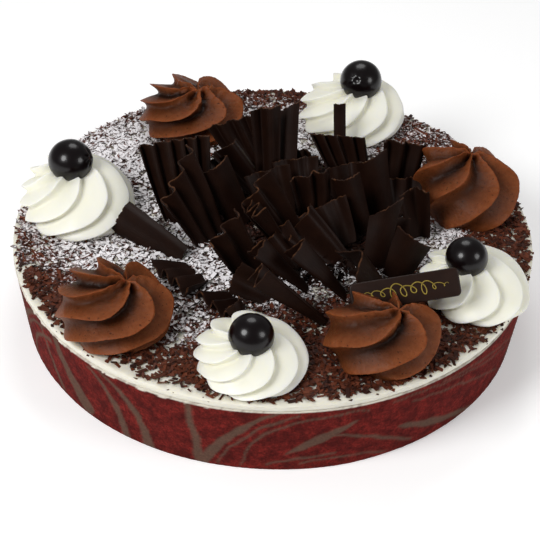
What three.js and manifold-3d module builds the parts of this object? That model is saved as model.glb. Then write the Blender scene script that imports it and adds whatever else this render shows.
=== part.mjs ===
// A whole black forest cake: a low round cake wrapped in a red patterned sponge, closed with a white
// cream layer that carries grated chocolate, with four white and four chocolate cream rosettes on the
// rim, a preserved cherry in each white rosette, a heap of dark chocolate ruffles in the middle and a
// small chocolate plaque.
//
// Millimetres, +Z up. The origin is the centre of the underside, and the front is towards -Y.

import * as THREE from "three";
import { mergeVertices } from "three/addons/utils/BufferGeometryUtils.js";
import Module from "manifold-3d";

const wasm = await Module();
wasm.setup();

// ---------------------------------------------------------------- driving dimensions

const CAKE_RADIUS = 130; // at the top of a 26 cm ring mould
const FOOT_RADIUS = 125; // the side draws in towards the table
const CAKE_HEIGHT = 45; // top of the cream, a 4.5 cm ring mould
const SPONGE_HEIGHT = 41; // top of the red sponge
const GAP = 0.3; // clearance kept between pieces that touch
const CREAM_GAP = 0.55; // and round a rosette, whose sides slope every way
const ROUND_STEPS = 72; // sides of the cake's outline

const TOP = CAKE_HEIGHT + GAP; // where the toppings start

const CREAM_INSET = 0.4; // how far the cream's side lies inside the sponge's
const RIM = { inset: 2.2, drop: 1.8 }; // softened upper edge of the cream
const FLAKE = { count: 190, length: [4.5, 8], width: [1.6, 2.6], thickness: 1.6 };

const SHEET = 1.4; // thickness of a chocolate ruffle
const NARROW_FOOT = 10; // a ruffle up to this width isn't gathered at its foot,
const FOOT_SHARE = 0.6; // and a wide one is drawn in to this share of its width

const COLOURS = {
  sponge: 0x7d1f26,
  cream: 0xf4f1e4,
  chocolateCream: 0x8a4a26,
  cherry: 0x140a0c,
  darkChocolate: 0x2b1a15,
};

// ---------------------------------------------------------------- solids and meshes

// A closed three.js geometry as a manifold-3d solid.
function solidOf(geometry) {
  const bare = geometry.clone();
  bare.deleteAttribute("normal");
  bare.deleteAttribute("uv");
  const merged = mergeVertices(bare, 1e-4);
  return new wasm.Manifold(
    new wasm.Mesh({
      numProp: 3,
      vertProperties: new Float32Array(merged.attributes.position.array),
      triVerts: new Uint32Array(merged.index.array),
    }),
  );
}

// The largest body of a solid, without the scraps that a cut leaves.
function largest(solid) {
  return solid.decompose().sort((a, b) => b.volume() - a.volume())[0];
}

function geometryOf(solid) {
  const { numProp, numVert, vertProperties, triVerts } = solid.getMesh();
  const corners = new Float32Array(numVert * 3);
  for (let i = 0; i < numVert; i++) {
    corners.set(vertProperties.subarray(i * numProp, i * numProp + 3), i * 3);
  }
  const geometry = new THREE.BufferGeometry();
  geometry.setAttribute("position", new THREE.BufferAttribute(corners, 3));
  geometry.setIndex(new THREE.BufferAttribute(new Uint32Array(triVerts), 1));
  geometry.computeVertexNormals();
  return geometry;
}

const cake = new THREE.Group();

function add(name, solid, color, roughness) {
  const material = new THREE.MeshStandardMaterial({ color, roughness, metalness: 0 });
  const mesh = new THREE.Mesh(geometryOf(solid), material);
  mesh.name = name;
  cake.add(mesh);
}

// A closed skin over rings of points, bottom ring first, each ring counter-clockwise from above.
function skinOf(rings) {
  const steps = rings[0].length;
  const corners = rings.flat();
  const faces = [];
  for (let r = 0; r + 1 < rings.length; r++) {
    for (let i = 0; i < steps; i++) {
      const next = (i + 1) % steps;
      const [a, b] = [r * steps + i, r * steps + next];
      faces.push(a, b, a + steps, b, b + steps, a + steps);
    }
  }
  for (const [ring, base, turned] of [
    [rings[0], 0, true],
    [rings.at(-1), (rings.length - 1) * steps, false],
  ]) {
    const middle = corners.length;
    const centre = new THREE.Vector3();
    ring.forEach((p) => centre.addScaledVector(p, 1 / steps));
    corners.push(centre);
    for (let i = 0; i < steps; i++) {
      const [a, b] = [base + i, base + ((i + 1) % steps)];
      faces.push(...(turned ? [middle, b, a] : [middle, a, b]));
    }
  }
  const geometry = new THREE.BufferGeometry().setFromPoints(corners);
  geometry.setIndex(faces);
  return geometry;
}

const polar = (radius, degrees, z = 0) =>
  new THREE.Vector3(
    radius * Math.cos(THREE.MathUtils.degToRad(degrees)),
    radius * Math.sin(THREE.MathUtils.degToRad(degrees)),
    z,
  );

// Random numbers from 0 to 1, the same on every run.
function seeded(seed) {
  let state = seed;
  return () => {
    state = (state * 1664525 + 1013904223) % 4294967296;
    return state / 4294967296;
  };
}

// ---------------------------------------------------------------- cake and its cream layer

function turned(profile) {
  const points = profile.map(([r, z]) => new THREE.Vector2(r, z));
  return solidOf(new THREE.LatheGeometry(points, ROUND_STEPS).rotateX(Math.PI / 2));
}

function spongeBody() {
  const bevel = 0.8; // at the table
  return turned([
    [0, 0],
    [FOOT_RADIUS - bevel, 0],
    [FOOT_RADIUS, bevel],
    [CAKE_RADIUS, SPONGE_HEIGHT],
    [0, SPONGE_HEIGHT],
  ]);
}

function creamLayer() {
  const low = SPONGE_HEIGHT + GAP;
  const edge = CAKE_RADIUS - CREAM_INSET;
  return turned([
    [0, low],
    [edge, low],
    [edge, CAKE_HEIGHT - RIM.drop],
    [edge - RIM.inset, CAKE_HEIGHT],
    [0, CAKE_HEIGHT],
  ]);
}

// Grated chocolate lies all over the cream. The largest flakes are flat slivers half sunk in it,
// spread by a sunflower rule with a seeded jitter and kept clear of every topping's foot.
function flakesOn(cream, clearOf) {
  const random = seeded(7);
  const between = ([least, most]) => least + (most - least) * random();
  const [inner, outer] = [60, 124]; // radii of the band that they lie in
  const goldenAngle = 137.508;
  const placed = [];
  for (let i = 0; i < FLAKE.count; i++) {
    const radius = inner + (outer - inner) * Math.sqrt((i + 0.5) / FLAKE.count);
    const spot = polar(radius + between([0, 2]), goldenAngle * i + between([0, 8]));
    const length = between(FLAKE.length);
    const width = between(FLAKE.width);
    const turn = between([0, 180]);
    const covered = clearOf.some(({ at, radius: foot }) => {
      const away = Math.hypot(spot.x - at[0], spot.y - at[1]);
      return away < foot + length / 2 + GAP;
    });
    if (covered) continue;
    const flake = solidOf(new THREE.BoxGeometry(length, width, FLAKE.thickness).toNonIndexed());
    placed.push(flake.rotate([0, 0, turn]).translate([spot.x, spot.y, CAKE_HEIGHT]));
  }
  return cream.add(wasm.Manifold.union(placed));
}

// ---------------------------------------------------------------- rosettes and cherries

// The two kinds of rosette, drawn for a radius of 26 mm at the widest.
//   rings  from foot to peak: [radius at the ridges, height, share of the whole twist]
//   lobe   outline of one ridge: [place along it from 0 to 1, how far it is drawn in from 0 to 1]
//   drawn  how far the valleys are drawn in at the foot and at the peak, of the radius
//   fuller how much less they are drawn in on the raised side
//   dip    how far the valleys lie under the ridges at the peak, mm
const DRAWN_RADIUS = 26;
const WHITE = {
  rings: [
    [21, 0, 0],
    [25.6, 3.4, 0.2],
    [26.2, 8, 0.45],
    [24.8, 12.5, 0.66],
    [21.5, 16, 0.8],
    [17, 18.9, 0.9],
    [13.4, 20.8, 0.96],
    [11, 21.6, 1],
  ],
  lobe: [
    [0, 0],
    [0.14, 0.75],
    [0.3, 1],
    [0.68, 0.45],
  ],
  drawn: [0.13, 0.2],
  fuller: 0,
  dip: 3,
};
const CHOCOLATE = {
  rings: [
    [22, 0, 0],
    [26, 4, 0.2],
    [27, 9, 0.4],
    [27, 14, 0.56],
    [26, 19, 0.72],
    [23.5, 23, 0.84],
    [15, 26.5, 0.94],
    [4, 29.5, 1],
  ],
  lobe: [
    [0, 0],
    [0.12, 0.62],
    [0.36, 1],
    [0.66, 0.68],
    [0.88, 0.26],
  ],
  drawn: [0.2, 0.54],
  fuller: 0.35,
  dip: 4,
};

// The rosettes round the rim.
//   tall   height over the usual one
//   ridges number of them
//   start  angle of the first ridge at the foot, twist from foot to peak, degrees
//   crowd  how much the ridges crowd towards one side, and which, degrees
//   tilt   how steeply one side is raised, and which, degrees
//   peak   how far the top is pulled aside, mm
const ROSETTES = [
  {
    name: "white_rosette_left",
    ...{ kind: WHITE, at: [-98, 7], radius: 28.5, tall: 1.03, ridges: 8 },
    ...{ start: 0, twist: 135, crowd: [0.3, 200], tilt: [0.05, 150], peak: [-4, 8] },
  },
  {
    name: "chocolate_rosette_front_left",
    ...{ kind: CHOCOLATE, at: [-73.5, -79], radius: 25.3, tall: 1, ridges: 7 },
    ...{ start: 46, twist: 146, crowd: [0.15, 190], tilt: [0.28, 190], peak: [8, 1] },
  },
  {
    name: "white_rosette_front",
    ...{ kind: WHITE, at: [-8.5, -104.2], radius: 25.7, tall: 0.86, ridges: 8 },
    ...{ start: 35, twist: 125, crowd: [0.35, 200], tilt: [0.12, 130], peak: [0, -1.3] },
  },
  {
    name: "chocolate_rosette_front_right",
    ...{ kind: CHOCOLATE, at: [48.5, -90.5], radius: 25, tall: 0.95, ridges: 6 },
    ...{ start: 47, twist: 108, crowd: [0.12, 190], tilt: [0.2, 190], peak: [9, 0] },
  },
  {
    name: "white_rosette_right",
    ...{ kind: WHITE, at: [97, -50], radius: 26, tall: 0.95, ridges: 8 },
    ...{ start: 10, twist: 105, crowd: [0.3, 200], tilt: [0.06, 120], peak: [-6, 2] },
  },
  {
    name: "chocolate_rosette_right",
    ...{ kind: CHOCOLATE, at: [97, 22], radius: 26.2, tall: 1.04, ridges: 7 },
    ...{ start: 40, twist: 78, crowd: [0.12, 200], tilt: [0.25, 205], peak: [2, 7] },
  },
  {
    name: "white_rosette_back",
    ...{ kind: WHITE, at: [40, 96], radius: 28.5, tall: 0.97, ridges: 8 },
    ...{ start: 15, twist: 110, crowd: [0.3, 200], tilt: [0.05, 150], peak: [5, 5] },
  },
  {
    name: "chocolate_rosette_back",
    ...{ kind: CHOCOLATE, at: [-47, 90], radius: 27, tall: 0.84, ridges: 7 },
    ...{ start: 46, twist: 145, crowd: [0.15, 190], tilt: [0.14, 200], peak: [5, -2] },
  },
];
const CHERRIES = {
  white_rosette_left: { name: "cherry_left", centre: [-102, 15, 72], radius: 11.3 },
  white_rosette_front: { name: "cherry_front", centre: [-8.5, -105.5, 65], radius: 10.4 },
  white_rosette_right: { name: "cherry_right", centre: [91, -48, 67.5], radius: 10.2 },
  white_rosette_back: { name: "cherry_back", centre: [45, 101, 70.5], radius: 11.4 },
};

// An angle in degrees after the ridges have crowded towards one side.
function crowded(angle, [amount, side]) {
  const half = THREE.MathUtils.degToRad(angle - side) / 2;
  const [sine, cosine] = [Math.sqrt(1 - amount) * Math.sin(half), Math.sqrt(1 + amount) * Math.cos(half)];
  return side + 2 * THREE.MathUtils.radToDeg(Math.atan2(sine, cosine));
}

// A cream rosette piped with a star nozzle: a star outline that turns and narrows as it rises.
function rosette({ kind, at, radius, tall, ridges, start, twist, crowd, tilt, peak }, grow = 0) {
  const { lobe, drawn, fuller, dip } = kind;
  const scale = radius / DRAWN_RADIUS;
  const top = kind.rings.at(-1)[1];
  const tiltFrom = 12; // height over which the tilt sets in
  const rings = kind.rings.map(([ridge, height, turn]) => {
    const rise = height / top;
    return Array.from({ length: ridges * lobe.length }, (_, i) => {
      const [place, inward] = lobe[i % lobe.length];
      const share = (Math.floor(i / lobe.length) + place) / ridges;
      const angle = crowded(start + twist * turn + 360 * share, crowd);
      const deeper = 1 - fuller * Math.cos(THREE.MathUtils.degToRad(angle - tilt[1]));
      const valley = deeper * inward * THREE.MathUtils.lerp(...drawn, rise * rise);
      const spot = polar(scale * ridge * (1 - valley) + grow, angle);
      const level = tall * scale * (height - dip * inward * Math.pow(rise, 3));
      const raised = tilt[0] * spot.dot(polar(1, tilt[1])) * Math.min(level / tiltFrom, 1);
      spot.z = Math.max(TOP + level + raised, TOP) + grow * (2 * rise - 1);
      return spot.add(new THREE.Vector3(...peak, 0).multiplyScalar(rise * rise));
    });
  });
  return solidOf(skinOf(rings)).translate([at[0], at[1], 0]);
}

// Slightly flatter than a ball.
function cherry({ centre, radius }, grow = 0) {
  const squat = 0.96;
  const ball = new THREE.IcosahedronGeometry(radius + grow, 2).scale(1, 1, squat);
  return solidOf(ball).translate(centre);
}

// ---------------------------------------------------------------- plaque

const PLAQUE = { width: 50.5, height: 13.2, thickness: 3.4, corner: 2.4, bevel: 0.5 };
const PLAQUE_CENTRE = [60.6, -75.7, 69.2];
const PLAQUE_LEAN = 52; // degrees up from lying flat
const PLAQUE_TURN = [0, -7.5, 8]; // then its long side rises and turns away to the right

// Drawn flat and centred, then leaned back against the ruffles.
function plaque(grow = 0) {
  const { width, height, thickness, corner, bevel } = PLAQUE;
  const [w, h] = [width / 2 - bevel + grow, height / 2 - bevel + grow];
  const outline = new THREE.Shape();
  outline.moveTo(-w + corner, -h);
  outline.lineTo(w - corner, -h);
  outline.absarc(w - corner, -h + corner, corner, -Math.PI / 2, 0);
  outline.absarc(w - corner, h - corner, corner, 0, Math.PI / 2);
  outline.absarc(-w + corner, h - corner, corner, Math.PI / 2, Math.PI);
  outline.absarc(-w + corner, -h + corner, corner, Math.PI, Math.PI * 1.5);
  const depth = thickness - 2 * bevel + 2 * grow;
  const body = new THREE.ExtrudeGeometry(outline, {
    depth,
    bevelThickness: bevel,
    bevelSize: bevel,
    bevelSegments: 1,
    curveSegments: 3,
  });
  body.translate(0, 0, -depth / 2);
  return solidOf(body).rotate([PLAQUE_LEAN, 0, 0]).rotate(PLAQUE_TURN).translate(PLAQUE_CENTRE);
}

// ---------------------------------------------------------------- chocolate ruffles

// Each ruffle is a thin sheet scraped off a slab, gathered at its foot and folded at its open edge. A row is
//   middle of the gathered foot on the cream,
//   heading of its length from +X, its rise over the table and its roll about its length, degrees,
//   length and width, mm, and
//   slant (how much longer the right side is), folds (how many cross it), their depth and how far they lean
//   over, and cup (hollow of the whole sheet).
// The ones in front come first: each later one is trimmed where it meets an earlier one.
const RUFFLES = [
  // front of the heap
  [[24, -72], 184, 42, -24, 42, 14, { folds: 1.5, depth: 5, lean: 0.2 }],
  [[-11, -80], 150, 55, 0, 16, 11, { cup: 4 }],
  [[-17, -58], 223, 16, 0, 17, 24, { folds: 2.5, depth: 2.4, lean: 0.6 }],
  [[-36, -40], 223, 16, 0, 18, 28, { folds: 3, depth: 2.6, lean: 0.6 }],
  [[34, -52], 177, 49, -30, 36, 11, { folds: 1, depth: -5.5 }],
  [[16, -48], 185, 47, -25, 35, 9, { folds: 1, depth: -5 }],
  [[32, -27], 166, 44, 52, 29, 22, { slant: 4, folds: 1.5, depth: 2.4, lean: 0.4 }],
  [[-8, -42], 184, 63, 53, 35, 24, { slant: 4, folds: 2.5, depth: 2.8, lean: 0.4 }],
  [[8, -20], 188, 56, -25, 33, 14, { folds: 2, depth: 4, lean: 0.2 }],
  [[11, -16], 172, 54, 43, 38, 24, { slant: 6, folds: 2, depth: 3, lean: 0.4 }],
  // right half
  [[54, -46], 190, 50, -12, 26, 30, { folds: 1, depth: -5 }],
  [[59, -38], 32, 65, -64, 24, 20, { slant: -5, cup: 4 }],
  [[49, -30], 67, 64, -24, 31, 14, { slant: 12, cup: 3 }],
  [[73, -6], 135, 75, 45, 27, 15, { folds: 1, depth: 4 }],
  [[44, -2], 143, 68, 56, 32, 14, { cup: 6 }],
  [[54, 11], 122, 69, 41, 33, 16, { slant: 6, cup: 6 }],
  [[22, -3], 120, 71, 36, 31, 22, { slant: 4, folds: 2.5, depth: 2.8, lean: 0.4 }],
  // left half
  [[-30, -12], 168, 63, 37, 40, 30, { slant: 17, folds: 3.5, depth: 3, lean: 0.4 }],
  [[-16, 2], 168, 64, 54, 37, 18, { cup: 5 }],
  [[-7, 29], 175, 53, 53, 33, 18, { slant: -4, folds: 1.5, depth: 2.4, lean: 0.4 }],
  [[-43, 1], 118, 64, 31, 43, 36, { folds: 5, depth: 2.5, lean: 0.6 }],
  // back of the heap
  [[-3, 29], 100, 69, 13, 45, 15, { slant: 2, folds: 1.5, depth: 2.8 }],
  [[-11, 50], 148, 56, 59, 29, 24, { slant: -4, folds: 3, depth: 2 }],
  [[6, 33], 88, 62, 19, 43, 10, { slant: 6, cup: 2 }],
  [[63.5, 30], 75, 71, -17, 29, 25, { folds: 2.5, depth: 3, lean: 0.4 }],
  [[41, 40], 136, 60, 42, 27, 28, { slant: -12, folds: 4.5, depth: 2.2, lean: 0.5 }],
  [[19, 41], 148, 62, 51, 19, 10, { slant: -6, folds: 2, depth: 2 }],
  [[34, 55], 97, 70, 0, 34, 6, { cup: 1 }],
  // low ones between the others
  [[4, 8], 130, 60, 40, 26, 24, { folds: 2, depth: 2 }],
  [[34, -16], 135, 50, 40, 24, 26, { folds: 2, depth: 2 }],
  [[66, 12], 100, 60, 0, 20, 22, { folds: 2, depth: 2 }],
  [[-28, 16], 130, 55, 40, 24, 26, { folds: 2, depth: 2 }],
  [[36, 22], 120, 60, 30, 20, 26, { folds: 2, depth: 2 }],
  [[14, 20], 110, 60, 20, 24, 24, { folds: 2, depth: 2 }],
  [[2, -56], 180, 30, 50, 24, 16, { folds: 1, depth: 2 }],
  [[57, -20], 90, 62, 0, 19, 20, { folds: 1, depth: 2 }],
  [[12, -34], 160, 48, 30, 22, 24, { folds: 2, depth: 2 }],
];
const LOOSE_RUFFLE = [[-43, -27], 148, 14, 74, 40, 20, { slant: -4, folds: 1, depth: 2, cup: 5 }];

const FOLD_STEPS = 4; // points across each fold
const LEAST_COLUMNS = 6;
const LENGTH_STEPS = 2;
const STEEPEST = 3; // most that a sheet is thickened where it runs along its normal
const FOOT_FOLDS = 0.3; // depth of the folds at the foot, of that at the open edge
const FOOT_HOLLOW = 0.5; // and the same for the hollow of the sheet
const FLARE = 0.7; // below 1 a sheet widens most near its foot

function ruffle([at, heading, rise, roll, length, width, shape], grow = 0) {
  const { slant = 0, folds = 0, depth = 0, lean = 0, cup = 0 } = shape;
  const compass = THREE.MathUtils.degToRad(heading);
  const climb = THREE.MathUtils.degToRad(rise);
  const along = new THREE.Vector3(
    Math.cos(compass) * Math.cos(climb),
    Math.sin(compass) * Math.cos(climb),
    Math.sin(climb),
  );
  const level = new THREE.Vector3(Math.sin(compass), -Math.cos(compass), 0);
  const across = level.clone().applyAxisAngle(along, -THREE.MathUtils.degToRad(roll));
  const normal = new THREE.Vector3().crossVectors(across, along);
  const leaning = normal.clone().addScaledVector(across, lean);
  const foot = new THREE.Vector3(at[0], at[1], TOP + 1);
  const footWidth = Math.max(Math.min(width, NARROW_FOOT), FOOT_SHARE * width);

  const columns = Math.max(LEAST_COLUMNS, Math.round(folds * FOLD_STEPS));
  const front = [];
  const back = [];
  for (let row = 0; row <= LENGTH_STEPS; row++) {
    const v = row / LENGTH_STEPS;
    const halfWidth = THREE.MathUtils.lerp(footWidth, width, Math.pow(v, FLARE)) / 2;
    for (let column = 0; column <= columns; column++) {
      const s = (2 * column) / columns - 1; // -1 at the left side, 1 at the right
      const edge = column % columns ? 0 : Math.sign(s) * grow;
      const phase = Math.PI * folds * (s + 1);
      const deep = depth * THREE.MathUtils.lerp(FOOT_FOLDS, 1, v);
      const steep = Math.hypot(1, (deep * Math.PI * folds * Math.sin(phase)) / halfWidth);
      const half = (SHEET / 2 + grow) * Math.min(steep, STEEPEST);
      const hollow = cup * (1 - s * s) * THREE.MathUtils.lerp(FOOT_HOLLOW, 1, v);
      const middle = foot
        .clone()
        .addScaledVector(along, v * (length + (slant * s) / 2) + (v > 0 ? grow : -grow))
        .addScaledVector(across, s * halfWidth + edge)
        .addScaledVector(normal, hollow);
      front.push(middle.clone().addScaledVector(leaning, deep * Math.cos(phase) + half));
      back.push(middle.clone().addScaledVector(leaning, deep * Math.cos(phase) - half));
    }
  }

  const wide = columns + 1;
  const points = [...front, ...back];
  const faces = [];
  const quad = (a, b, c, d) => faces.push(a, b, c, a, c, d);
  const under = front.length;
  for (let row = 0; row < LENGTH_STEPS; row++) {
    for (let column = 0; column < columns; column++) {
      const a = row * wide + column;
      quad(a, a + 1, a + wide + 1, a + wide);
      quad(under + a, under + a + wide, under + a + wide + 1, under + a + 1);
    }
    const [left, right] = [row * wide, row * wide + columns];
    quad(left, left + wide, under + left + wide, under + left);
    quad(right, under + right, under + right + wide, right + wide);
  }
  for (let column = 0; column < columns; column++) {
    const [low, high] = [column, LENGTH_STEPS * wide + column];
    quad(low, under + low, under + low + 1, low + 1);
    quad(high, high + 1, under + high + 1, under + high);
  }
  const geometry = new THREE.BufferGeometry().setFromPoints(points);
  geometry.setIndex(faces);
  return solidOf(geometry);
}

// Circles that cover the feet of the ruffles.
const HEAP_AREA = [
  { at: [12, 0], radius: 66 },
  { at: [-14, -60], radius: 26 },
  { at: [-52, -20], radius: 28 },
];

// ---------------------------------------------------------------- assembly

add("sponge_body", spongeBody(), COLOURS.sponge, 0.85);
add("cream_layer", flakesOn(creamLayer(), [...ROSETTES, ...HEAP_AREA]), COLOURS.cream, 0.6);

const plaqueCutter = plaque(GAP);
const looseCutter = ruffle(LOOSE_RUFFLE, GAP);
const overCream = (solid) => solid.trimByPlane([0, 0, 1], TOP);

add("plaque", plaque(), COLOURS.darkChocolate, 0.4);
add("ruffle_loose", largest(overCream(ruffle(LOOSE_RUFFLE))), COLOURS.darkChocolate, 0.4);

let taken = wasm.Manifold.union([plaqueCutter, looseCutter]);
for (const spec of ROSETTES) {
  const color = spec.kind === WHITE ? COLOURS.cream : COLOURS.chocolateCream;
  let piped = rosette(spec);
  const topping = CHERRIES[spec.name];
  if (topping) {
    piped = piped.subtract(cherry(topping, GAP));
    add(topping.name, cherry(topping), COLOURS.cherry, 0.12);
  }
  add(spec.name, largest(piped.subtract(taken)), color, 0.5);
}
for (const spec of ROSETTES) taken = taken.add(rosette(spec, CREAM_GAP));

RUFFLES.forEach((spec, i) => {
  const whole = overCream(ruffle(spec)).subtract(taken);
  const name = `ruffle_${String(i + 1).padStart(2, "0")}`;
  add(name, largest(whole), COLOURS.darkChocolate, 0.4);
  taken = taken.add(ruffle(spec, GAP));
});

export default cake;
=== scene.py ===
"""A whole black forest cake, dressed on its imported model. Metres, +Z up, the front towards -Y."""

import math
import random

import bpy
import numpy as np
from mathutils import Matrix, Vector, noise


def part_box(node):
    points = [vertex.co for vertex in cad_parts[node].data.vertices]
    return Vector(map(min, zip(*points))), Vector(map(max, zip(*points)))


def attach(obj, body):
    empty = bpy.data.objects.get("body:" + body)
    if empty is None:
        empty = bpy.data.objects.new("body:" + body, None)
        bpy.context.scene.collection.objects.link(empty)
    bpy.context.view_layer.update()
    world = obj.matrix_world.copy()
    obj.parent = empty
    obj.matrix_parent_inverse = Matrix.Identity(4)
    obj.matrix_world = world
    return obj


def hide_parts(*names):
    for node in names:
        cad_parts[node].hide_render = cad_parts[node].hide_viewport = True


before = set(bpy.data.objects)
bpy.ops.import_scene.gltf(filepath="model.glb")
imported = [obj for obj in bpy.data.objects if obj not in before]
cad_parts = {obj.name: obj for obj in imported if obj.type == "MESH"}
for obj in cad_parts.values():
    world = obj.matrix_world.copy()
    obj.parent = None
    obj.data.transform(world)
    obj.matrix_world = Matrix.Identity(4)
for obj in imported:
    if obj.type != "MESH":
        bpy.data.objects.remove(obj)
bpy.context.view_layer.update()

# ---------------------------------------------------------------- table, lights and camera
# The cake stands alone on a plain white table, in the even light of a large softbox on the left,
# weaker ones on the right and behind, and a bright room. This section is in metres.

MM = 0.001
TABLE_REACH = 4.0
LAMP_TARGET = Vector((0, 0, 0.05))


def linear(hex_code):
    """The linear colour of an sRGB hex value, with full alpha."""
    parts = [int(hex_code[i : i + 2], 16) / 255 for i in (1, 3, 5)]
    return tuple(c / 12.92 if c <= 0.04045 else ((c + 0.055) / 1.055) ** 2.4 for c in parts) + (1.0,)


def finish(name, **sockets):
    """A new material and its shader, with the shader's own sockets set."""
    material = bpy.data.materials.new(name)
    material.use_nodes = True
    shader = material.node_tree.nodes["Principled BSDF"]
    for socket, value in sockets.items():
        shader.inputs[socket.replace("_", " ")].default_value = value
    return material, shader


def add(material, kind, inputs=(), **settings):
    """Adds a shader node with its settings. A socket in inputs takes a value or another node's output."""
    made = material.node_tree.nodes.new(kind)
    for key, value in settings.items():
        setattr(made, key, value)
    for socket, value in dict(inputs).items():
        if isinstance(value, bpy.types.NodeSocket):
            material.node_tree.links.new(value, made.inputs[socket])
        else:
            made.inputs[socket].default_value = value
    return made


def model(name, points, faces, material, **fields):
    """A smooth mesh object from points in metres, with one number per point for each named field."""
    mesh = bpy.data.meshes.new(name)
    mesh.from_pydata(np.asarray(points).tolist(), [], [list(map(int, f)) for f in faces])
    mesh.materials.append(material)
    mesh.shade_smooth()
    for field, values in fields.items():
        mesh.attributes.new(field, "FLOAT", "POINT").data.foreach_set("value", np.asarray(values, "f"))
    made = bpy.data.objects.new(name, mesh)
    bpy.context.scene.collection.objects.link(made)
    return made


# White acrylic lit from below gives the eye an even white ground with faint, soft shadows.
table_white, shader = finish("lit_white_acrylic", Base_Color=linear("#fafafa"), Roughness=0.7,
                             Emission_Color=linear("#ffffff"), Emission_Strength=0.22)
corners = [(i * TABLE_REACH, j * TABLE_REACH, 0) for i, j in ((-1, -1), (1, -1), (1, 1), (-1, 1))]
model("table", corners, [(0, 1, 2, 3)], table_white)

room = bpy.data.worlds.new("bright_room")
room.use_nodes = True
room.node_tree.nodes["Background"].inputs["Color"].default_value = linear("#ffffff")
room.node_tree.nodes["Background"].inputs["Strength"].default_value = 0.2
bpy.context.scene.world = room
bpy.context.scene.view_settings.view_transform = "Standard"

for name, place, size, watts in (
    ("softbox_left", (-0.55, -0.5, 0.72), 0.45, 7.2),
    ("softbox_right", (0.75, -0.4, 0.5), 0.4, 2.6),
    ("softbox_behind", (0.0, 0.55, 0.85), 0.5, 2.5),
):
    lamp = bpy.data.lights.new(name, "AREA")
    lamp.shape = "DISK"
    lamp.size = size
    lamp.energy = watts
    softbox = bpy.data.objects.new(name, lamp)
    softbox.location = place
    softbox.rotation_euler = (LAMP_TARGET - Vector(place)).to_track_quat("-Z", "Y").to_euler()
    bpy.context.scene.collection.objects.link(softbox)

# A long lens looks down on the cake from in front, a little turned about its own axis.
VIEW_ELEVATION = math.radians(38.6)
VIEW_ROLL = math.radians(1.7)
VIEW_DISTANCE = 0.7764
LOOK_AT = Vector((-1.1, -33.8, 45.0)) * MM
lens = bpy.data.cameras.new("camera")
lens.sensor_width = 36
lens.lens = 106.7
camera = bpy.data.objects.new("camera", lens)
back = Vector((0, -math.cos(VIEW_ELEVATION), math.sin(VIEW_ELEVATION)))
level = Matrix.Rotation(VIEW_ROLL, 3, back) @ Vector((1, 0, 0))
turned = Matrix((level, back.cross(level), back)).transposed()
camera.matrix_world = Matrix.Translation(LOOK_AT + back * VIEW_DISTANCE) @ turned.to_4x4()
bpy.context.scene.collection.objects.link(camera)
bpy.context.scene.camera = camera

# ---------------------------------------------------------------- red sponge band
# The side is a thin almond sponge, baked flat with swirls of darker batter piped over it, then cut
# into a strip and stood round the inside of the ring mould before the cake is filled.

# Sizes are in mm from here on, up to the points that are handed to model().
FOOT_RADIUS = 125.0
CAKE_RADIUS = 130.0
SPONGE_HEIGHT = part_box("sponge_body")[1][2] / MM
CRUMB = 1.3  # the pores of a fine sponge
BROWNED = 6  # the patches that browned in the oven


def swarm(points, size, seed=0.0):
    """Smooth random numbers from -1 to 1 at points in mm, in blobs of that size."""
    shift = Vector((seed, 2 * seed, 3 * seed))
    values = [noise.noise(Vector(p) / size + shift) for p in points.reshape(-1, 3)]
    return np.array(values).reshape(points.shape[:-1])


def skin(rings):
    """Points and faces of a closed skin over rings of points, bottom ring first, with a fan at each end."""
    count, steps = rings.shape[:2]
    here = np.arange(steps)
    after = (here + 1) % steps
    faces = [
        face
        for r in range(count - 1)
        for face in zip(r * steps + here, r * steps + after, (r + 1) * steps + after, (r + 1) * steps + here)
    ]
    low, high = count * steps, count * steps + 1
    last = (count - 1) * steps
    faces += [(low, b, a) for a, b in zip(here, after)]
    faces += [(high, last + a, last + b) for a, b in zip(here, after)]
    points = np.concatenate([rings.reshape(-1, 3), [rings[0].mean(0)], [rings[-1].mean(0)]])
    return points, faces


def turned_rings(profile, steps):
    """Rings round the Z axis through a profile of (radius, height) in mm."""
    angle = np.linspace(0, 2 * math.pi, steps, endpoint=False)
    radius, height = np.array(profile).T
    flat = np.stack([np.cos(angle), np.sin(angle), np.zeros(steps)], -1)
    return radius[:, None, None] * flat + height[:, None, None] * np.array([0, 0, 1.0])


# Swirls of batter from a first point to a last one, bent towards the one between: each point is
# (degrees round the cake, height, width of the line).
PIPED_SWIRLS = [
    [(213, 37, 2), (215, 20, 2), (218, 4, 3)],
    [(219.3, 38, 5), (221.5, 22, 5), (227, 6, 10)],
    [(230, 37, 1.2), (237, 29, 2.5), (238.2, 1, 5)],
    [(233, 40, 1.5), (242.5, 31, 3), (244, 0, 6)],
    [(253.6, 41, 2.5), (254.8, 22, 3), (256, 0, 6)],
    [(256.5, 1, 5.5), (261, 27, 5), (272.5, 41, 1.2)],
    [(259.8, 2, 1), (264, 28, 1.5), (276, 38.5, 1.3)],
    [(264.5, 3, 1.2), (267, 41, 1.6), (291.5, 36.5, 1.6)],
    [(274, 11.5, 0.5), (281, 22, 10), (288, 30, 1)],
    [(283.5, 22.5, 1), (292, 19, 2.4), (302, 4.5, 1.5)],
    [(270, 4, 1), (276, 9, 1.4), (284, 10, 1)],
    [(277, 5, 1), (286, 9, 1.2), (296, 3, 1)],
    [(298.5, 18, 1), (304, 13, 8), (321, 0.5, 1.5)],
    [(296, 37, 1), (312, 40, 1.6), (334, 20, 1)],
    [(301, 33, 1), (316, 31, 1.6), (331, 9, 1)],
    [(308, 38, 1), (325, 36, 1.6), (341, 16, 1)],
]
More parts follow.
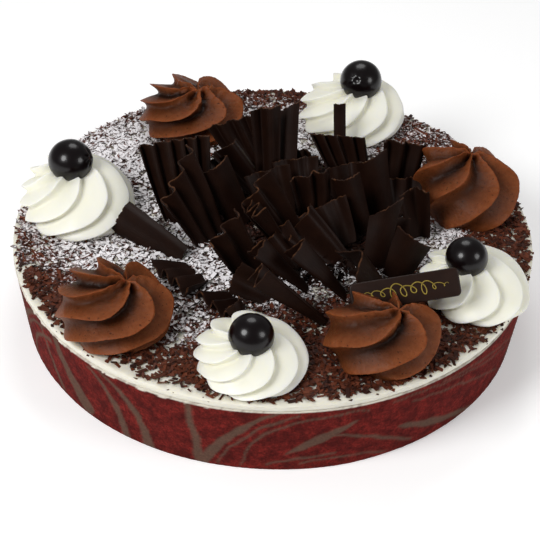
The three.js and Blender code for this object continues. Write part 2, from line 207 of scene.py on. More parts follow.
# Round the back, between these bearings, none is drawn by hand, and they are laid by chance.
PIPED_FROM, PIPED_TO = 338.0, 565
chance = random.Random(5)
bearing = PIPED_FROM
while bearing < PIPED_TO:
    lean = chance.uniform(4, 16)
    low_end = (bearing, chance.uniform(0, 8), chance.uniform(1, 6))
    high_end = (bearing + lean, chance.uniform(32, 41), chance.uniform(1, 3))
    bend = (bearing + lean * chance.choice((0.15, 0.75)), chance.uniform(18, 32), chance.uniform(1.5, 6))
    PIPED_SWIRLS.append([low_end, bend, high_end])
    bearing += chance.choice((3.5, 5, 9))


def swirl_cover(bearing, height):
    """How much batter lies at each place of the band, from 0 to 1."""
    cover = np.zeros(bearing.shape)
    share = np.linspace(0, 1, 40)[:, None]
    per_degree = math.radians(CAKE_RADIUS)
    swirl_reach = 24  # degrees
    soft_edge, thickest = 1.3, 0.85
    for swirl in PIPED_SWIRLS:
        first, bend, last = np.array(swirl)
        line = (1 - share) ** 2 * first + 2 * share * (1 - share) * bend + share**2 * last
        near = np.abs((bearing - bend[0] + 180) % 360 - 180) < swirl_reach
        across = ((bearing[near][:, None] - line[:, 0] + 180) % 360 - 180) * per_degree
        edge = np.hypot(across, height[near][:, None] - line[:, 1]) - line[:, 2] / 2
        cover[near] = np.maximum(cover[near], np.clip(0.5 - edge.min(1) / soft_edge, 0, thickest))
    return cover


side = [(FOOT_RADIUS - 0.8, 0), (FOOT_RADIUS - 0.2, 0.2)]
side += [(FOOT_RADIUS + (CAKE_RADIUS - FOOT_RADIUS) * h, SPONGE_HEIGHT * h) for h in np.linspace(0.02, 1, 44)]
side += [(CAKE_RADIUS - 2, SPONGE_HEIGHT)]
rings = turned_rings(side, 780)
# The band has broad shallow hollows, and the pits of its crumb.
sunk = 0.35 * (1 + swarm(rings, 34, 1)) + 0.16 * (1 + swarm(rings, CRUMB, 2))
outward = rings * [1, 1, 0] / np.linalg.norm(rings[..., :2], axis=-1)[..., None]
rings = rings - outward * sunk[..., None]
# The edges of the batter wander by about a millimetre. A degree is about 2.2 mm of the band.
bearings = np.degrees(np.arctan2(rings[..., 1], rings[..., 0])) % 360
wander = rings + 1.2 * np.stack([swarm(rings, 7, s) for s in (3, 4, 5)], -1)
cover = swirl_cover(bearings + (wander - rings)[..., 0] / 2.2, wander[..., 2])
# The cream laps over the cut edge of the sponge in places, most at the front left.
lap = 0.5 + 1.8 * np.clip(np.cos(np.radians(bearings - 218)), 0, 1) ** 6
lap = lap * np.clip(0.35 + swarm(rings, 5, 15) + 0.7 * swarm(rings, 1.6, 16), 0, 2)
smeared = np.clip((rings[..., 2] - SPONGE_HEIGHT + 0.3 + lap) / 0.5, 0, 1)
points, faces = skin(rings)

# A colour Mix node's sockets go by number: the share of the second colour, both colours, and the result.
SHARE, FIRST, SECOND, MIXED = 0, 6, 7, 2

# Red almond sponge, baked flat, gives the eye a matt and finely pitted crumb with darker browned patches.
# The batter of the swirls is a greyish brown, as matt, and the cream that laps over it is off-white.
sponge, shader = finish("baked_almond_sponge", Roughness=0.95, Specular_IOR_Level=0.08)
place = add(sponge, "ShaderNodeTexCoord").outputs["Object"]
pores = add(sponge, "ShaderNodeTexNoise",
            {"Vector": place, "Scale": 1 / (CRUMB * MM), "Detail": 5.0, "Roughness": 0.7}).outputs["Fac"]
crumb = add(sponge, "ShaderNodeValToRGB", {"Fac": pores})
for stop, position, colour in zip(crumb.color_ramp.elements, (0.32, 0.66), ("#45140f", "#7e2521")):
    stop.position = position
    stop.color = linear(colour)
blotches = add(sponge, "ShaderNodeTexNoise",
               {"Vector": place, "Scale": 1 / (BROWNED * MM), "Detail": 3.0, "Roughness": 0.6}).outputs["Fac"]
red = add(sponge, "ShaderNodeMapRange",
          {"Value": blotches, "From Min": 0.38, "From Max": 0.62}).outputs["Result"]
browned = add(sponge, "ShaderNodeMix",
              {SHARE: 0.72, FIRST: crumb.outputs["Color"], SECOND: linear("#3a0f0e")},
              data_type="RGBA").outputs[MIXED]
crust = add(sponge, "ShaderNodeMix", {SHARE: red, FIRST: browned, SECOND: crumb.outputs["Color"]},
            data_type="RGBA").outputs[MIXED]
batter = add(sponge, "ShaderNodeMix", {SHARE: pores, FIRST: linear("#46322a"), SECOND: linear("#6b584a")},
             data_type="RGBA").outputs[MIXED]
piped = add(sponge, "ShaderNodeAttribute", attribute_name="swirl").outputs["Fac"]
swirled = add(sponge, "ShaderNodeMix", {SHARE: piped, FIRST: crust, SECOND: batter},
              data_type="RGBA").outputs[MIXED]
lapped = add(sponge, "ShaderNodeAttribute", attribute_name="smeared").outputs["Fac"]
whole = add(sponge, "ShaderNodeMix", {SHARE: lapped, FIRST: swirled, SECOND: linear("#dcd6c8")},
            data_type="RGBA").outputs[MIXED]
grain = add(sponge, "ShaderNodeBump", {"Height": pores, "Distance": 0.6 * MM, "Strength": 0.7})
sponge.node_tree.links.new(whole, shader.inputs["Base Color"])
sponge.node_tree.links.new(grain.outputs["Normal"], shader.inputs["Normal"])

# The two numbers at the end are those of the skin's end points, under the cake and under the cream.
band = model("sponge_band", points * MM, faces, sponge, swirl=np.append(cover.ravel(), [0, 0]),
             smeared=np.append(smeared.ravel(), [1, 1]))
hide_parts("sponge_body")
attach(band, "root")

# ---------------------------------------------------------------- cream layer and grated chocolate
# The top is whipped cream, levelled off with the ring mould. It is strewn with chocolate grated off a
# block, with the largest flakes towards the rim, and the middle is dusted with icing sugar.

CREAM_TOP = 45.0
CREAM_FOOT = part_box("cream_layer")[0][2] / MM
RIM = CAKE_RADIUS - 0.4
ROUNDED_IN, ROUNDED_DOWN = 2.2, 1.7

profile = [(RIM - 3, CREAM_FOOT), (RIM - 0.3, CREAM_FOOT), (RIM, CREAM_FOOT + 0.6), (RIM, CREAM_FOOT + 2)]
for a in np.linspace(0.2, 1.5, 6):
    profile.append((RIM - ROUNDED_IN * (1 - math.cos(a)), CREAM_TOP - ROUNDED_DOWN * (1 - math.sin(a))))
profile += [(radius, CREAM_TOP) for radius in np.linspace(RIM - 2.6, 1.5, 84)]
rings = turned_rings(profile, 480)
# The top is left a little rippled by the knife, and the side draws in unevenly from the mould.
on_top = (rings[..., 2] > CREAM_TOP - 1)[..., None]
ripple = 0.35 * swarm(rings, 9, 6) + 0.3 * swarm(rings, 2.4, 7)
rings = rings + on_top * ripple[..., None] * [0, 0, 1]
side_wave = 0.3 * (1 + swarm(rings, 8, 8)) + 0.12 * (1 + swarm(rings, 2, 9))
rings = rings * (1 - ~on_top * (side_wave / RIM)[..., None] * [1, 1, 0])
points, faces = skin(rings)


def patch(x, y, middle, reach, fade):
    """1 inside a round patch of the top and 0 outside its reach, with a soft edge as wide as the fade."""
    return np.clip((reach - np.hypot(x - middle[0], y - middle[1])) / fade, 0, 1)


# Whipped cream gives the eye an off-white face without gloss, which light goes a little way into. Towards the
# middle of the cake it is speckled brown by the finest gratings.
SPECKLE = 2.2
cream, shader = finish("whipped_cream", Roughness=0.5, Subsurface_Weight=0.35, Subsurface_Scale=4 * MM,
                       Subsurface_Radius=(1.0, 0.9, 0.6))
place = add(cream, "ShaderNodeTexCoord").outputs["Object"]
speckle = add(cream, "ShaderNodeTexNoise",
              {"Vector": place, "Scale": 1 / (SPECKLE * MM), "Detail": 4.0, "Roughness": 0.75}).outputs["Fac"]
stain = add(cream, "ShaderNodeAttribute", attribute_name="grated").outputs["Fac"]
stained = add(cream, "ShaderNodeMath", {0: speckle, 1: stain}, operation="ADD").outputs["Value"]
specks = add(cream, "ShaderNodeValToRGB", {"Fac": stained})
for stop, position, colour in zip(specks.color_ramp.elements, (0.92, 1.0), ("#dedacc", "#3a2018")):
    stop.position = position
    stop.color = linear(colour)
cream.node_tree.links.new(specks.outputs["Color"], shader.inputs["Base Color"])

grated = 0.5 * patch(points[:, 0], points[:, 1], (-10, 10), 100, 10)
top = model("cream_top", points * MM, faces, cream, grated=grated)
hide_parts("cream_layer")
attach(top, "root")

# Where each rosette stands, as (x, y, radius). The gratings go a little way under it.
ROSETTE_AREA = [(-98, 7, 28.5), (-73.5, -79, 25.3), (-8.5, -104.2, 25.7), (48.5, -90.5, 25), (97, -50, 26),
                (97, 22, 26.2), (40, 96, 28.5), (-47, 90, 27)]
UNDER_ROSETTE = 15
STREWN_REACH = 128.4


def dusted(x, y):
    """How much icing sugar lies at a place on the top, from 0 to 1.

    Most is in the middle and at the back left, with patches at the right, at the back right and in front.
    The heap keeps it off the middle.
    """
    away = np.hypot((x + 25) / 1.25, y - 25)
    middle = np.clip((114 - away) / 52, 0.0, 0.95)
    right = 0.85 * patch(x, y, (79, -12), 29, 14)
    back_right = 0.45 * patch(x, y, (84, 84), 50, 16)
    in_front = 0.6 * patch(x, y, (-44, -74), 26, 12)
    return np.maximum.reduce([middle, right, back_right, in_front]) * (1 - patch(x, y, (16, 14), 50, 10))


def flakes(name, material, tries, length, width, thickness, kept, seed, tilt=0.3):
    """Slivers of chocolate strewn over the top, as one mesh of ragged chips.

    tries is how many are thrown, kept the share of them that stay at a place, and tilt how unevenly they
    lie, in radians.
    """
    dice = np.random.default_rng(seed)
    reach = STREWN_REACH * np.sqrt(dice.random(tries))
    angle = dice.uniform(0, 2 * math.pi, tries)
    x, y = reach * np.cos(angle), reach * np.sin(angle)
    clear = dice.random(tries) < kept(x, y)
    for a, b, _ in ROSETTE_AREA:
        clear &= np.hypot(x - a, y - b) > UNDER_ROSETTE
    x, y = x[clear], y[clear]
    total = len(x)
    half_length = dice.uniform(*length, total)[:, None] / 2
    half_width = dice.uniform(*width, total)[:, None] / 2
    spin = dice.uniform(0, math.pi, total)
    pitch, bank = dice.normal(0, tilt, total), dice.normal(0, tilt, total)
    along = np.stack([np.cos(spin) * np.cos(pitch), np.sin(spin) * np.cos(pitch), np.sin(pitch)], -1)
    across = np.stack([-np.sin(spin) * np.cos(bank), np.cos(spin) * np.cos(bank), np.sin(bank)], -1)
    up = np.cross(along, across)
    over_rim = np.clip(np.hypot(x, y) - 127, 0, 2)
    centre = np.stack([x, y, CREAM_TOP + dice.uniform(0.3, 1.2, total) - over_rim], -1)
    corners = []
    for k in (-1, 1):
        for i, j in ((-1, -1), (1, -1), (1, 1), (-1, 1)):
            long, wide = dice.uniform(0.55, 1.1, (2, total, 1))
            spot = centre + along * half_length * i * long + across * half_width * j * wide
            corners.append(spot + up * thickness / 2 * k)
    points = np.stack(corners, 1).reshape(-1, 3)
    box = np.array([(0, 3, 2, 1), (4, 5, 6, 7), (0, 1, 5, 4), (1, 2, 6, 5), (2, 3, 7, 6), (3, 0, 4, 7)])
    faces = (np.arange(total)[:, None, None] * 8 + box).reshape(-1, 4)
    # Little light reaches those under the heap: they are painted darker there, as painted shade.
    shade = (1 - 0.85 * patch(x, y, (16, 6), 56, 8)) * dice.random(total)
    sugar = dusted(x, y)
    made = model(name, points * MM, faces, material, shade=np.repeat(shade, 8), sugar=np.repeat(sugar, 8))
    made.data.shade_flat()
    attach(made, "root")


# Dark chocolate off a grater gives the eye dull chips, from nearly black to reddish brown, painted darker
# under the heap as painted shade.
SUGAR_CLUMP = 1.6
gratings, shader = finish("grated_dark_chocolate", Roughness=0.6, Specular_IOR_Level=0.2)
shade = add(gratings, "ShaderNodeAttribute", attribute_name="shade").outputs["Fac"]
chip = add(gratings, "ShaderNodeMix", {SHARE: shade, FIRST: linear("#26100a"), SECOND: linear("#64311d")},
           data_type="RGBA").outputs[MIXED]
# Icing sugar gives it a dull white coat. It stays on what faces up, in clumps of a millimetre or so, where it
# was sifted.
place = add(gratings, "ShaderNodeTexCoord").outputs["Object"]
clumps = add(gratings, "ShaderNodeTexNoise",
             {"Vector": place, "Scale": 1 / (SUGAR_CLUMP * MM), "Detail": 3.0}).outputs["Fac"]
normal = add(gratings, "ShaderNodeNewGeometry").outputs["Normal"]
upward = add(gratings, "ShaderNodeSeparateXYZ", {"Vector": normal}).outputs["Z"]
sifted = add(gratings, "ShaderNodeAttribute", attribute_name="sugar").outputs["Fac"]
level = add(gratings, "ShaderNodeMath", {0: upward, 1: 2.2, 2: -2.45},
            operation="MULTIPLY_ADD").outputs["Value"]
laid = add(gratings, "ShaderNodeMath", {0: sifted, 1: level}, operation="ADD").outputs["Value"]
heaped = add(gratings, "ShaderNodeMath", {0: clumps, 1: 1.1, 2: laid},
             operation="MULTIPLY_ADD").outputs["Value"]
coat = add(gratings, "ShaderNodeMapRange",
           {"Value": heaped, "From Min": 0.62, "From Max": 0.86}).outputs["Result"]
sugared = add(gratings, "ShaderNodeMix", {SHARE: coat, FIRST: chip, SECOND: linear("#efecee")},
              data_type="RGBA").outputs[MIXED]
gratings.node_tree.links.new(sugared, shader.inputs["Base Color"])

# How far out the gratings lie, as (degrees round the cake, mm). In front they stop well short of the edge.
STREWN_TO = [(196, 129.5), (212, 129), (226, 129), (233, 125), (241, 122), (250, 123.5), (258, 126.5),
             (270, 128.5), (284, 128), (300, 130), (320, 130.5), (336, 132), (360, 133)]
FINER_WITHIN = 84


def strewn(x, y):
    """The share of the flakes that stay at a place. Their edge is ragged, with loose flakes beyond it."""
    bearing = np.degrees(np.arctan2(y, x))
    edge = np.interp(bearing, *zip(*STREWN_TO), period=360) + 2.5 * swarm(np.stack([x, y, 0 * x], -1), 5, 10)
    loose = 0.03 + 0.15 * np.exp(-((((bearing % 360) - 243) / 20) ** 2))
    return np.clip((edge - np.hypot(x, y)) / 4, loose, 1.0)


flakes("grated_chocolate", gratings, 26000, length=(1.6, 5), width=(0.9, 2.5), thickness=0.35,
       kept=lambda x, y: strewn(x, y) * (np.hypot(x, y) > FINER_WITHIN), seed=11)
flakes("sugared_chocolate", gratings, 19000, length=(1.8, 4.2), width=(1.0, 2.4), thickness=0.4,
       kept=lambda x, y: strewn(x, y) * (np.hypot(x, y) <= FINER_WITHIN) * 0.8, seed=12)

# The largest flakes follow the solids' own rule: a sunflower spread with a seeded jitter, clear of the
# rosettes and of the heap.
LARGE_FLAKES = 190
FLAKES_FROM, FLAKES_OVER = 60, 64
GOLDEN_ANGLE = 137.508
HEAP_AREA = [(12, 0, 66), (-14, -60, 26), (-52, -20, 28)]


def same_dice(state):
    """The solids' own random numbers, from 0 to 1."""
    while True:
        state = (state * 1664525 + 1013904223) % 4294967296
        yield state / 4294967296


dice = same_dice(7)
points, faces, shades, sugars = [], [], [], []
for i in range(LARGE_FLAKES):
    reach = FLAKES_FROM + FLAKES_OVER * math.sqrt((i + 0.5) / LARGE_FLAKES) + 2 * next(dice)
    bearing = math.radians(GOLDEN_ANGLE * i + 8 * next(dice))
    x, y = reach * math.cos(bearing), reach * math.sin(bearing)
    length, width = 4.5 + 3.5 * next(dice), 1.6 + next(dice)
    spin = math.radians(180 * next(dice))
    if any(math.hypot(x - a, y - b) < foot + length / 2 + 0.3 for a, b, foot in ROSETTE_AREA + HEAP_AREA):
        continue
    along, across = Vector((math.cos(spin), math.sin(spin), 0)), Vector((-math.sin(spin), math.cos(spin), 0))
    start = len(points)
    # Each flake is a bar in five lengths, thinner and bent up towards both ends.
    for s in np.linspace(-1, 1, 6):
        rise = 0.9 + 0.5 * s * s
        taper = width / 2 * (1 - 0.25 * abs(s))
        for j, k in ((-1, -1), (1, -1), (1, 1), (-1, 1)):
            spot = Vector((x, y, CREAM_TOP + rise + 0.25 * k)) + along * s * length / 2
            points.append(spot + across * j * taper)
            shades.append((i * 0.37) % 1)
            sugars.append(float(dusted(x, y)))
    for row in range(5):
        for c in range(4):
            a = start + 4 * row
            faces.append((a + c, a + (c + 1) % 4, a + 4 + (c + 1) % 4, a + 4 + c))
    faces += [(start + 3, start + 2, start + 1, start), (start + 20, start + 21, start + 22, start + 23)]
large = model("large_flakes", np.array(points) * MM, faces, gratings, shade=shades, sugar=sugars)
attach(large, "root")

# ---------------------------------------------------------------- piped rosettes
# Whipped cream, plain or beaten with melted chocolate, piped with a star nozzle that turns as it lifts.
# The chocolate one is stiffer, so its ridges stay sharp over deep grooves.

# Both kinds, as drawn for a radius of 26 mm.
# rings: (radius at the ridges, height, share of the twist), from the foot to the peak.
# lobe: the outline of one ridge, as (place along it, how far it is drawn in).
# drawn: how deep the grooves are at the foot and at the peak, as a share of the radius.
# fuller: how much shallower they are on the side that is raised.
# dip: how far they sink below the ridges at the peak.
DRAWN_RADIUS = 26
WHITE = {
    "rings": [(21, 0, 0), (25.6, 3.4, 0.2), (26.2, 8, 0.45), (24.8, 12.5, 0.66), (21.5, 16, 0.8),
              (17, 18.9, 0.9), (13.4, 20.8, 0.96), (11, 21.6, 1)],
    "lobe": [(0, 0), (0.03, 0.1), (0.08, 0.42), (0.14, 0.75), (0.21, 0.95), (0.3, 1), (0.42, 0.86),
             (0.56, 0.62), (0.7, 0.4), (0.83, 0.2), (0.93, 0.07), (1, 0)],
    "drawn": (0.13, 0.2),
    "fuller": 0,
    "dip": 3,
}
CHOCOLATE = {
    "rings": [(22, 0, 0), (26, 4, 0.2), (27, 9, 0.4), (27, 14, 0.56), (26, 19, 0.72), (23.5, 23, 0.84),
              (15, 26.5, 0.94), (4, 29.5, 1)],
    "lobe": [(0, 0), (0.03, 0.2), (0.07, 0.44), (0.13, 0.68), (0.23, 0.9), (0.36, 1), (0.48, 0.94),
             (0.6, 0.79), (0.72, 0.58), (0.84, 0.34), (0.94, 0.12), (1, 0)],
    "drawn": (0.2, 0.54),
    "fuller": 0.35,
    "dip": 4,
}


def smooth_steps(rows, count):
    """Values between the rows of a table, on a smooth curve through them."""
    rows = np.array(rows, float)
    padded = np.vstack([2 * rows[0] - rows[1], rows, 2 * rows[-1] - rows[-2]])
    where = np.linspace(0, len(rows) - 1, count)
    step = np.minimum(where.astype(int), len(rows) - 2)
    t = (where - step)[:, None]
    a, b, c, d = (padded[step + k] for k in range(4))
    return b + 0.5 * t * (c - a + t * (2 * a - 5 * b + 4 * c - d + t * (3 * (b - c) + d - a)))


ROSETTE_FOOT = CREAM_TOP + 0.3


def rosette(name, kind, at, radius, tall, ridges, start, twist, crowd, tilt, peak, material, seed,
            grain=0, rough=0):
    """A rosette as a closed skin: a star outline that turns and narrows as it rises.

    crowd draws the ridges towards one side, and tilt raises one side: each is (amount, direction). peak is
    how far the top leans, grain how rough the ridges are and rough how broken the peak is, all in mm.
    """
    scale = radius / DRAWN_RADIUS
    # Rough cream needs more points to a ridge.
    lobe = smooth_steps(kind["lobe"], 26 if grain else 17)[:-1]
    place = (np.arange(ridges)[:, None] + lobe[:, 0]).ravel() / ridges
    uneven = 1 + 0.14 * np.sin(2.4 * np.arange(ridges) + start)
    inward = (uneven[:, None] * np.clip(lobe[:, 1], 0, 1)).ravel()
    table = smooth_steps(kind["rings"], 84)
    ring, height, turned = table[:, :1], table[:, 1:2], table[:, 2:]
    rise = np.clip(height / kind["rings"][-1][1], 0, 1)
    # The ridges crowd towards one side, in the same order.
    amount, side = crowd[0], math.radians(crowd[1])
    half = (np.radians(start + twist * turned + 360 * place) - side) / 2
    turn = side + 2 * np.arctan2(math.sqrt(1 - amount) * np.sin(half), math.sqrt(1 + amount) * np.cos(half))
    # The grooves are deeper towards the peak, and away from the raised side.
    low, high = kind["drawn"]
    raised = math.radians(tilt[1])
    deeper = 1 - kind["fuller"] * np.cos(turn - raised)
    reach = scale * ring * (1 - deeper * inward * (low + (high - low) * rise**2))
    x, y = reach * np.cos(turn), reach * np.sin(turn)
    level = tall * scale * (height - kind["dip"] * inward * rise**3)
    lift = level + tilt[0] * (x * math.cos(raised) + y * math.sin(raised)) * np.clip(level / 12, 0, 1)
    grid = np.stack([x, y, lift], -1)
    # The cream flows a little unevenly, and its peak leans over as the nozzle is drawn off.
    wobble = np.stack([swarm(grid, 14, seed), swarm(grid, 14, seed + 3), 0.6 * swarm(grid, 11, seed + 6)], -1)
    grid = grid + wobble * np.clip(grid[..., 2:] / 4, 0, 1) * 1.1
    grid = grid + np.array([peak[0], peak[1], 0]) * rise[..., None] ** 2
    grid = grid + [at[0], at[1], ROSETTE_FOOT]
    if grain:
        broken = rough * np.clip(1.4 - reach / 14, 0, 1)[..., None]
        grid = grid + broken * np.stack([swarm(grid, 3, seed + 13 + i) for i in range(3)], -1)
        crest = (1 - inward)[None, :, None] ** 2
        fine = np.stack([swarm(grid, 1.2, seed + 9 + i) for i in range(3)], -1)
        grid = grid + grain * (0.5 + 2 * crest) * fine
    grid[..., 2] = np.maximum(grid[..., 2], ROSETTE_FOOT)
    points, faces = skin(grid)
    # How deep each point lies in a groove: the materials darken the grooves by it, as painted shade.
    groove = np.append((inward * (0.6 + 0.4 * rise)).ravel(), [0, 0])
    made = model(name, points * MM, faces, material, groove=groove)
    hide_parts(name)
    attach(made, "root")
    return made


# Whipped cream, piped, gives the eye a smooth off-white with a faint sheen, and folds that glow instead of
# going dark, because light passes through them.
white_cream, shader = finish("piped_whipped_cream", Roughness=0.45, Subsurface_Weight=0.4,
                             Subsurface_Scale=4 * MM, Subsurface_Radius=(1.0, 0.95, 0.55))
groove = add(white_cream, "ShaderNodeAttribute", attribute_name="groove").outputs["Fac"]
# The grooves are painted a yellower, darker white, as painted shade.
white_groove_shade = add(white_cream, "ShaderNodeMix", {SHARE: groove, FIRST: linear("#efeee3"), SECOND: linear("#ecead8")},
          data_type="RGBA").outputs[MIXED]
white_cream.node_tree.links.new(white_groove_shade, shader.inputs["Base Color"])

# Chocolate cream, piped, gives the eye a satin brown, mottled where the chocolate isn't quite beaten in, and
# pricked with small holes of burst air bubbles. Its grooves and holes are painted dark, nearly black, as
# painted shade.
brown_cream, shader = finish("piped_chocolate_cream", Roughness=0.5, Specular_IOR_Level=0.14,
                             Subsurface_Weight=0.12, Subsurface_Scale=2 * MM)
MOTTLE, BUBBLES = 3, 1.4
place = add(brown_cream, "ShaderNodeTexCoord").outputs["Object"]
groove = add(brown_cream, "ShaderNodeAttribute", attribute_name="groove").outputs["Fac"]
mottle = add(brown_cream, "ShaderNodeTexNoise",
             {"Vector": place, "Scale": 1 / (MOTTLE * MM), "Detail": 4.0}).outputs["Fac"]
tint = add(brown_cream, "ShaderNodeMix", {SHARE: mottle, FIRST: linear("#642f11"), SECOND: linear("#8e4f2b")},
           data_type="RGBA").outputs[MIXED]
# The grooves are painted nearly black, as painted shade.
brown_groove_shade = add(brown_cream, "ShaderNodeMix", {SHARE: groove, FIRST: tint, SECOND: linear("#1e0b03")},
              data_type="RGBA").outputs[MIXED]
bubbles = add(brown_cream, "ShaderNodeTexNoise",
              {"Vector": place, "Scale": 1 / (BUBBLES * MM), "Detail": 2.0}).outputs["Fac"]
burst = add(brown_cream, "ShaderNodeMapRange",
            {"Value": bubbles, "From Min": 0.29, "From Max": 0.35, "To Min": 0.7, "To Max": 0.0})
# The holes of the burst bubbles are painted darker, as painted shade in the pits.
pit_shaded = add(brown_cream, "ShaderNodeMix",
            {SHARE: burst.outputs["Result"], FIRST: brown_groove_shade, SECOND: linear("#2a1004")},
            data_type="RGBA").outputs[MIXED]
pitted = add(brown_cream, "ShaderNodeBump", {"Height": bubbles, "Distance": 0.5 * MM, "Strength": 0.6})
brown_cream.node_tree.links.new(pit_shaded, shader.inputs["Base Color"])
brown_cream.node_tree.links.new(pitted.outputs["Normal"], shader.inputs["Normal"])

# Place, radius, height over the usual one, ridges, start, twist, crowd, tilt and peak of each, as in the
# solids. start and twist are in degrees.
WHITE_ROSETTES = {
    "left": ((-98, 7), 28.5, 1.03, 8, 0, 135, (0.3, 200), (0.05, 150), (-4, 8)),
    "front": ((-8.5, -104.2), 25.7, 0.86, 8, 35, 125, (0.35, 200), (0.12, 130), (0, -1.3)),
    "right": ((97, -50), 26, 0.95, 8, 10, 105, (0.3, 200), (0.06, 120), (-6, 2)),
    "back": ((40, 96), 28.5, 0.97, 8, 15, 110, (0.3, 200), (0.05, 150), (5, 5)),
}
# The last number is how far the peak is broken, in mm.
CHOCOLATE_ROSETTES = {
    "front_left": ((-73.5, -79), 25.3, 1, 7, 46, 146, (0.15, 190), (0.28, 190), (8, 1), 0.8),
    "front_right": ((48.5, -90.5), 25, 0.95, 6, 47, 108, (0.12, 190), (0.2, 190), (9, 0), 1.2),
    "right": ((97, 22), 26.2, 1.04, 7, 40, 78, (0.12, 200), (0.25, 205), (2, 7), 0.8),
    "back": ((-47, 90), 27, 0.84, 7, 46, 145, (0.15, 190), (0.14, 200), (5, -2), 2),
}
for seed, (where, shape) in enumerate(WHITE_ROSETTES.items(), 20):
    made = rosette("white_rosette_" + where, WHITE, *shape, white_cream, seed)
for seed, (where, (*shape, rough)) in enumerate(CHOCOLATE_ROSETTES.items(), 40):
    name = "chocolate_rosette_" + where
    made = rosette(name, CHOCOLATE, *shape, brown_cream, seed, grain=0.08, rough=rough)

# ---------------------------------------------------------------- preserved cherries
# Dark morello cherries from a jar of syrup: a nearly black skin, wet and glossy, with a dent where the
# stalk came off. They are pushed into the white rosettes.

# Cherry skin, wet with syrup, gives the eye a black gloss with a sharp light on it, and faint wrinkles.
cherry_skin, shader = finish("syrup_wet_cherry_skin", Base_Color=linear("#090304"), Roughness=0.28,
                             Coat_Weight=0.2, Coat_Roughness=0.12, Specular_IOR_Level=0.22)
WRINKLE = 5
place = add(cherry_skin, "ShaderNodeTexCoord").outputs["Object"]
wrinkle = add(cherry_skin, "ShaderNodeTexNoise",
              {"Vector": place, "Scale": 1 / (WRINKLE * MM), "Detail": 2.0}).outputs["Fac"]
puckered = add(cherry_skin, "ShaderNodeBump", {"Height": wrinkle, "Distance": 0.5 * MM, "Strength": 0.35})
cherry_skin.node_tree.links.new(puckered.outputs["Normal"], shader.inputs["Normal"])

latitude = np.linspace(-math.pi / 2 + 0.05, math.pi / 2 - 0.05, 66)[:, None]
longitude = np.linspace(0, 2 * math.pi, 108, endpoint=False)[None]
ball = np.stack([np.cos(latitude) * np.cos(longitude), np.cos(latitude) * np.sin(longitude),
                 np.sin(latitude) + 0 * longitude], -1)

# Centre, radius, which way the stalk was, and how deep the skin is creased round its dent, of the radius.
CHERRIES = {
    "cherry_left": ((-102, 15, 72), 11.3, (0.85, -0.1, 0.3), 0.06),
    "cherry_front": ((-8.5, -105.5, 65), 10.4, (0.2, 0.9, 0.6), 0.03),
    "cherry_right": ((91, -48, 67.5), 10.2, (-0.1, 0.9, 0.4), 0.03),
    "cherry_back": ((45, 101, 70.5), 11.4, (-0.25, -0.8, 0.5), 0.022),
}
for seed, (name, (centre, radius, stalk, pucker)) in enumerate(CHERRIES.items(), 60):
    axis = np.array(stalk) / np.linalg.norm(stalk)
    aside = np.cross(axis, [0, 0, 1])
    off_axis = np.arccos(np.clip(ball @ axis, -1, 1))
    round_it = np.arctan2(ball @ np.cross(axis, aside), ball @ aside)
    star = (0.5 + 0.5 * np.cos(7 * round_it + 1.5 * np.sin(2 * round_it))) ** 2
    creases = star * np.exp(-(((off_axis - 0.3) / 0.17) ** 2))
    dent = np.clip((ball @ axis - 0.975) / 0.025, 0, 1) ** 2
    size = radius * (0.985 - 0.07 * dent - pucker * creases + 0.012 * swarm(ball, 0.8, seed))
    points, faces = skin(ball * size[..., None] * [1, 1, 0.96] + np.array(centre))
    made = model(name, points * MM, faces, cherry_skin)
    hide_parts(name)
    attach(made, "root")

# ---------------------------------------------------------------- plaque
# A small tablet of dark chocolate cast in a mould, with round corners and a softened edge. A plain scroll
# is painted on its face in edible gold.

PLAQUE_WIDTH, PLAQUE_HEIGHT, PLAQUE_THICKNESS, PLAQUE_CORNER = 50.5, 13.2, 3.4, 2.4
PLAQUE_PLACE = (60.6, -75.7, 69.2)
PLAQUE_LEAN, PLAQUE_SLOPE, PLAQUE_TURN = 52, -7.5, 8  # degrees
SOFT_EDGE = 0.7


def plaque_outline(inset, level):
    """Points round the plaque's outline, counter-clockwise, drawn in by inset."""
    points = []
    for quarter, (i, j) in enumerate(((1, -1), (1, 1), (-1, 1), (-1, -1))):
        for a in np.linspace(-math.pi / 2, 0, 7) + quarter * math.pi / 2:
            x = i * (PLAQUE_WIDTH / 2 - PLAQUE_CORNER) + (PLAQUE_CORNER - inset) * math.cos(a)
            y = j * (PLAQUE_HEIGHT / 2 - PLAQUE_CORNER) + (PLAQUE_CORNER - inset) * math.sin(a)
            points.append((x, y, level))
    return points


def set_plaque(points):
    """Leans points drawn on the flat plaque back where it stands on the rosettes."""
    turn = Matrix.Rotation(math.radians(PLAQUE_TURN), 3, "Z")
    turn = turn @ Matrix.Rotation(math.radians(PLAQUE_SLOPE), 3, "Y")
    turn = turn @ Matrix.Rotation(math.radians(PLAQUE_LEAN), 3, "X")
    return np.asarray(points) @ np.array(turn).T + PLAQUE_PLACE


edge = [(SOFT_EDGE * (1 - math.sin(a)), SOFT_EDGE * (1 - math.cos(a)))
        for a in np.linspace(0, math.pi / 2, 5)]
rings = [plaque_outline(inset, -PLAQUE_THICKNESS / 2 + drop) for inset, drop in edge]
rings += [plaque_outline(inset, PLAQUE_THICKNESS / 2 - drop) for inset, drop in reversed(edge)]
points, faces = skin(np.array(rings))

